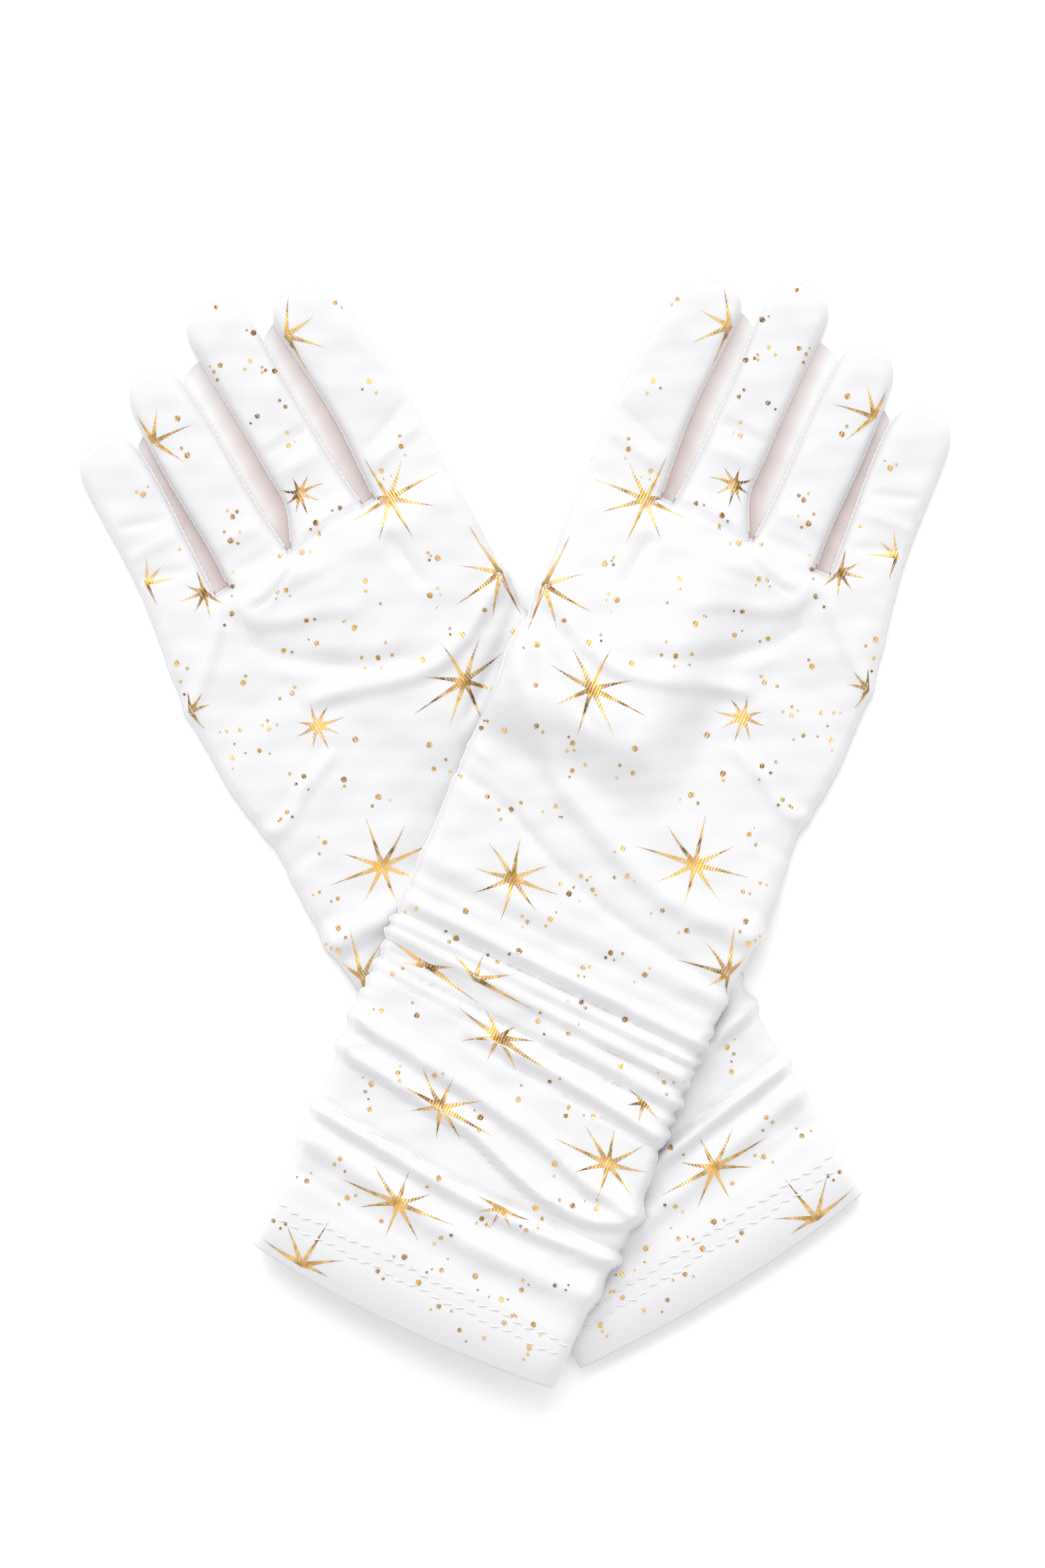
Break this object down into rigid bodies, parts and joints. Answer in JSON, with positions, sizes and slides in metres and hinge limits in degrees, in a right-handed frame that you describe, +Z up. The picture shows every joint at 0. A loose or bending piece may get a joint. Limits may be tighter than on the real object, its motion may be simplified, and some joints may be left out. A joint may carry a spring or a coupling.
{
  "type": "pair of opera gloves",
  "caption": "Pair of ruched white satin knit opera gloves with gold starburst print, laid crossed and palm down.",
  "frame": {"origin": "middle of the pair on the surface that it lies on", "axes": "+Z up off the surface, +Y towards the fingertips, +X towards the right-hand glove's little finger"},
  "size_m": [0.2056, 0.2576, 0.0202],
  "materials": {
    "satin": "white stretch satin knit with fine lengthwise ribs and a gold foil starburst and dot print",
    "satin_inside": "matt back of the white satin knit",
    "thread": "white polyester sewing thread",
    "elastic": "thin translucent elastic tape"
  },
  "bodies": {
    "left_glove": {"left_back_panel": "satin", "left_cuff_hem": "satin_inside", "left_cuff_stitch_row_1": "thread", "left_cuff_stitch_row_2": "thread", "left_index_crotch_seam": "thread", "left_little_side_elastic": "elastic", "left_little_side_seam": "thread", "left_middle_crotch_seam": "thread", "left_palm_panel": "satin", "left_ring_crotch_seam": "thread", "left_thumb_side_elastic": "elastic", "left_thumb_side_seam": "thread"},
    "left_index_finger": {"left_index_upper": "satin", "left_index_lower": "satin", "left_index_seam": "thread"},
    "left_middle_finger": {"left_middle_upper": "satin", "left_middle_lower": "satin", "left_middle_seam": "thread"},
    "left_ring_finger": {"left_ring_upper": "satin", "left_ring_lower": "satin", "left_ring_seam": "thread"},
    "left_little_finger": {"left_little_upper": "satin", "left_little_lower": "satin", "left_little_seam": "thread"},
    "left_thumb": {"left_thumb_upper": "satin", "left_thumb_lower": "satin", "left_thumb_seam": "thread"},
    "right_glove": {"right_back_panel": "satin", "right_cuff_hem": "satin_inside", "right_cuff_stitch_row_1": "thread", "right_cuff_stitch_row_2": "thread", "right_index_crotch_seam": "thread", "right_little_side_elastic": "elastic", "right_little_side_seam": "thread", "right_middle_crotch_seam": "thread", "right_palm_panel": "satin", "right_ring_crotch_seam": "thread", "right_thumb_side_elastic": "elastic", "right_thumb_side_seam": "thread"},
    "right_index_finger": {"right_index_upper": "satin", "right_index_lower": "satin", "right_index_seam": "thread"},
    "right_middle_finger": {"right_middle_upper": "satin", "right_middle_lower": "satin", "right_middle_seam": "thread"},
    "right_ring_finger": {"right_ring_upper": "satin", "right_ring_lower": "satin", "right_ring_seam": "thread"},
    "right_little_finger": {"right_little_upper": "satin", "right_little_lower": "satin", "right_little_seam": "thread"},
    "right_thumb": {"right_thumb_upper": "satin", "right_thumb_lower": "satin", "right_thumb_seam": "thread"}
  },
  "joints": [
    {"name": "right_glove_lift", "type": "slide", "parent": "left_glove", "child": "right_glove", "axis": [0, 0, 1], "range_m": [0, 0.1]},
    {"name": "left_index_fold", "type": "hinge", "parent": "left_glove", "child": "left_index_finger", "pos_m": [-0.02445, 0.08082, 0.0072], "axis": [0.8531, 0.5218, 0], "range_deg": [0, 75]},
    {"name": "left_middle_fold", "type": "hinge", "parent": "left_glove", "child": "left_middle_finger", "pos_m": [-0.04296, 0.0695, 0.0072], "axis": [0.8531, 0.5218, 0], "range_deg": [0, 75]},
    {"name": "left_ring_fold", "type": "hinge", "parent": "left_glove", "child": "left_ring_finger", "pos_m": [-0.0593, 0.05951, 0.0072], "axis": [0.8531, 0.5218, 0], "range_deg": [0, 75]},
    {"name": "left_little_fold", "type": "hinge", "parent": "left_glove", "child": "left_little_finger", "pos_m": [-0.07602, 0.04928, 0.0072], "axis": [0.8531, 0.5218, 0], "range_deg": [0, 75]},
    {"name": "left_thumb_unfold", "type": "hinge", "parent": "left_glove", "child": "left_thumb", "pos_m": [-0.00503, 0.04581, 0.0007], "axis": [0, 0, -1], "range_deg": [0, 40]},
    {"name": "right_index_fold", "type": "hinge", "parent": "right_glove", "child": "right_index_finger", "pos_m": [0.02496, 0.08001, 0.0072], "axis": [0.9063, -0.4226, 0], "range_deg": [0, 75]},
    {"name": "right_middle_fold", "type": "hinge", "parent": "right_glove", "child": "right_middle_finger", "pos_m": [0.04462, 0.07084, 0.0072], "axis": [0.9063, -0.4226, 0], "range_deg": [0, 75]},
    {"name": "right_ring_fold", "type": "hinge", "parent": "right_glove", "child": "right_ring_finger", "pos_m": [0.06198, 0.06274, 0.0072], "axis": [0.9063, -0.4226, 0], "range_deg": [0, 75]},
    {"name": "right_little_fold", "type": "hinge", "parent": "right_glove", "child": "right_little_finger", "pos_m": [0.07974, 0.05446, 0.0072], "axis": [0.9063, -0.4226, 0], "range_deg": [0, 75]},
    {"name": "right_thumb_unfold", "type": "hinge", "parent": "right_glove", "child": "right_thumb", "pos_m": [0.00959, 0.04304, 0.0092], "axis": [0.0967, 0.2073, 0.9735], "range_deg": [0, 40]}
  ]
}
